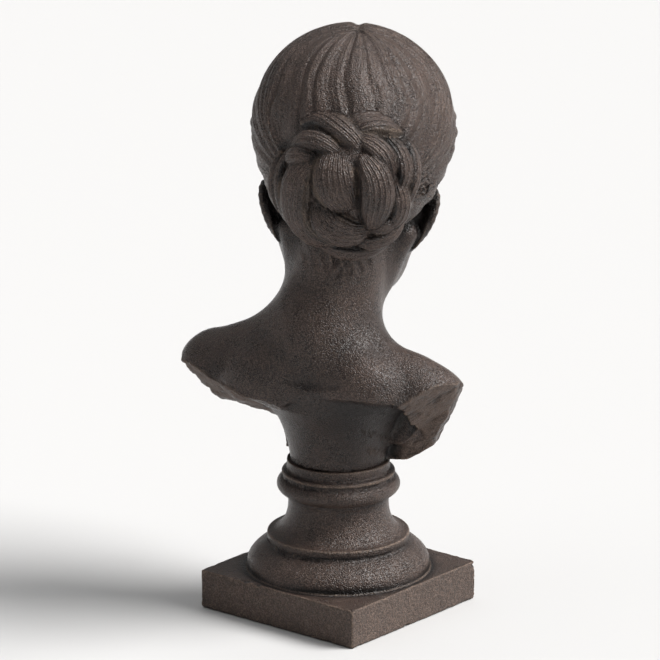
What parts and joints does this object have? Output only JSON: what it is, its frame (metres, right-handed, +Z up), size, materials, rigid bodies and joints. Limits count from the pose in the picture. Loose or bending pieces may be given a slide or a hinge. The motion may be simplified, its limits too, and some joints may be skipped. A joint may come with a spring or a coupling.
{
  "type": "portrait bust on a turned pedestal",
  "caption": "Bust of a girl with a coiled knot of hair, head turned to one side, arms broken off below the shoulders, on a turned round socle with a square plinth.",
  "frame": {"origin": "middle of the plinth's underside", "axes": "+Z up, the sides of the square plinth run along X and Y, and the figure's chest faces about -Y"},
  "size_m": [0.2365, 0.2067, 0.503],
  "materials": {
    "bust": "dark brown waxed cast stone, satin with fine pits, paler and rough where it is broken",
    "pedestal": "dark brown waxed cast stone, dusty on its ridges and on the plinth"
  },
  "bodies": {
    "root": {"bust": "bust", "pedestal": "pedestal"}
  },
  "joints": []
}
